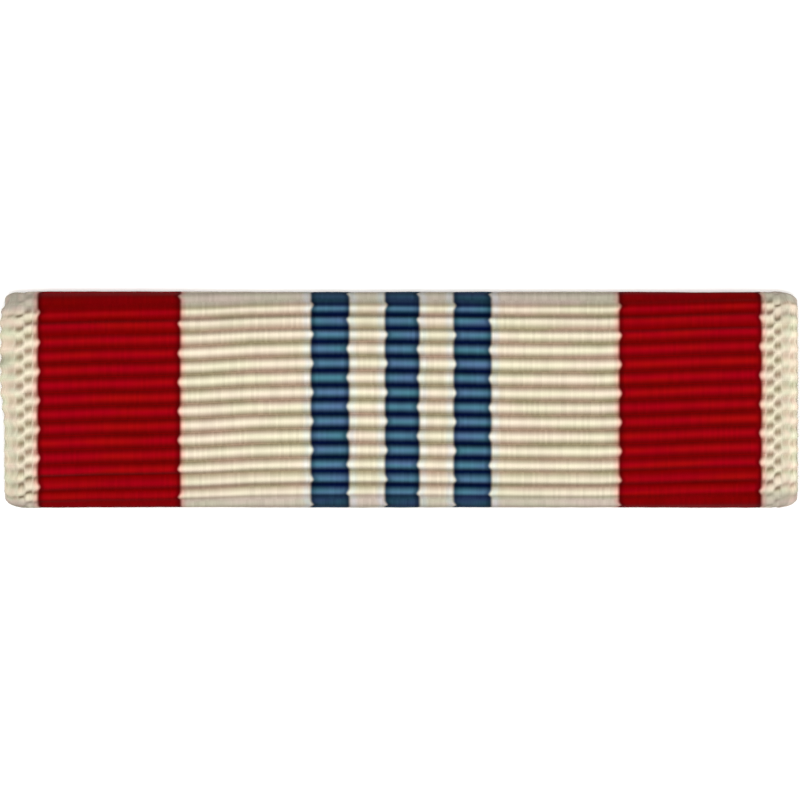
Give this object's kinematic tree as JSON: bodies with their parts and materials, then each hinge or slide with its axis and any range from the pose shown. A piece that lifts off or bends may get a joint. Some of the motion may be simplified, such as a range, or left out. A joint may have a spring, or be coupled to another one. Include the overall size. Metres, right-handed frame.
{
  "type": "ribbon bar",
  "caption": "Ribbon bar: corded, striped ribbon wound round a flat brass bar, with a slide channel on its back.",
  "frame": {"origin": "middle of the plane that the bar rests on, which is the outer face of the channel's lips", "axes": "+X along the bar to the right as seen from the front, +Y to the top edge, +Z out of the striped face"},
  "size_m": [0.0348, 0.0094, 0.0036],
  "materials": {
    "ribbon_cloth": "corded silk ribbon, cream ground with red and dark blue stripes woven in",
    "bar_brass": "satin, rolled sheet",
    "channel_brass": "satin, brushed along its length"
  },
  "bodies": {
    "root": {"ribbon": "ribbon_cloth", "bar_plate": "bar_brass", "slide_channel": "channel_brass"}
  },
  "joints": []
}
